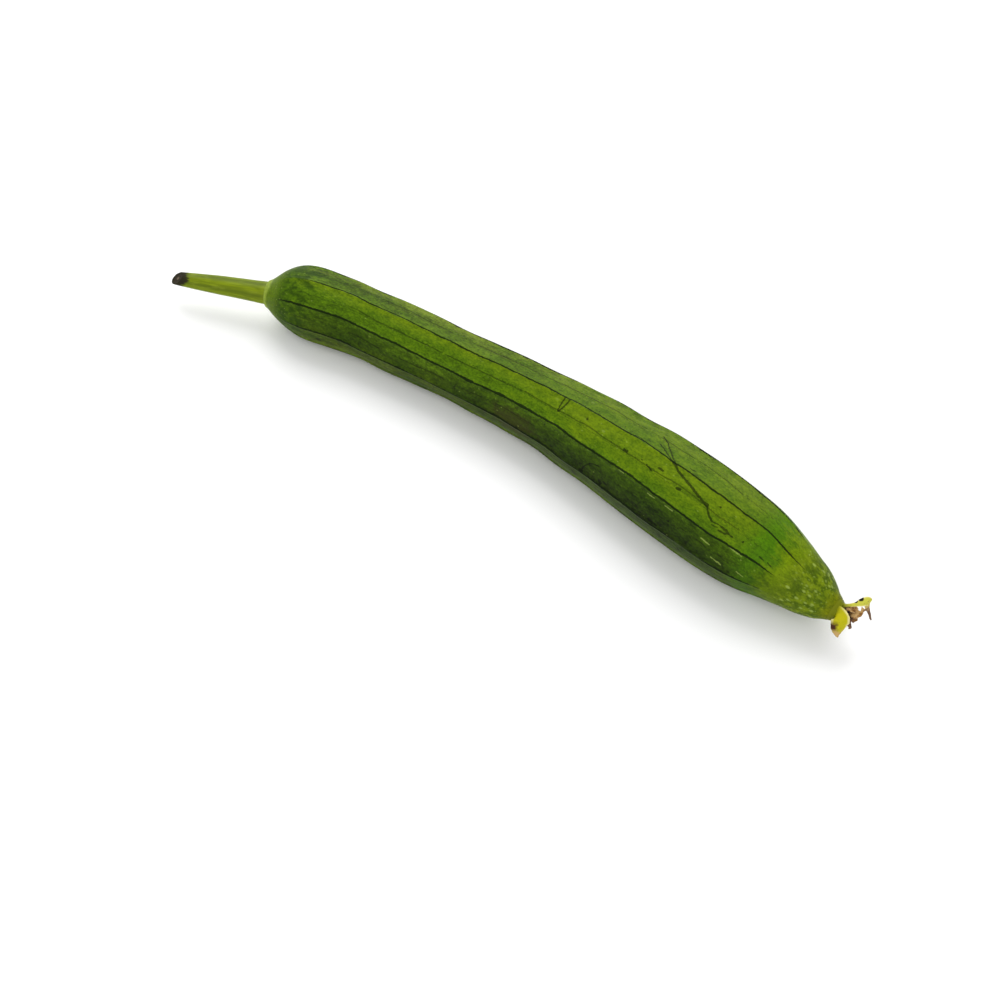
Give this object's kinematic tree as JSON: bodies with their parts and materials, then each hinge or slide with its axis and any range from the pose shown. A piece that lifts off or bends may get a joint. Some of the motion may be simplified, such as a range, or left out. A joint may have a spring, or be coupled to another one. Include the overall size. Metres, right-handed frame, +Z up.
{
  "type": "luffa gourd",
  "caption": "Fresh smooth luffa, often sold as ridge gourd: a long green fruit with low ribs, a cut stalk and a dried flower end, lying on its side.",
  "frame": {"origin": "on the surface that the gourd lies on, below the middle of its bounding box", "axes": "+X along the gourd from the cut stalk to the blossom end, +Z up from the surface it lies on, +Y towards the side it bows to"},
  "size_m": [0.3892, 0.0574, 0.0445],
  "materials": {
    "green_skin": "satin skin with fine dark lines and pale flecks",
    "stalk_skin": "satin, furrowed, blackened at the cut",
    "calyx_flesh": "soft satin",
    "dried_petal": "matt, crumpled"
  },
  "bodies": {
    "root": {"fruit": "green_skin", "stalk": "stalk_skin", "calyx": "calyx_flesh", "withered_petals": "dried_petal"}
  },
  "joints": []
}
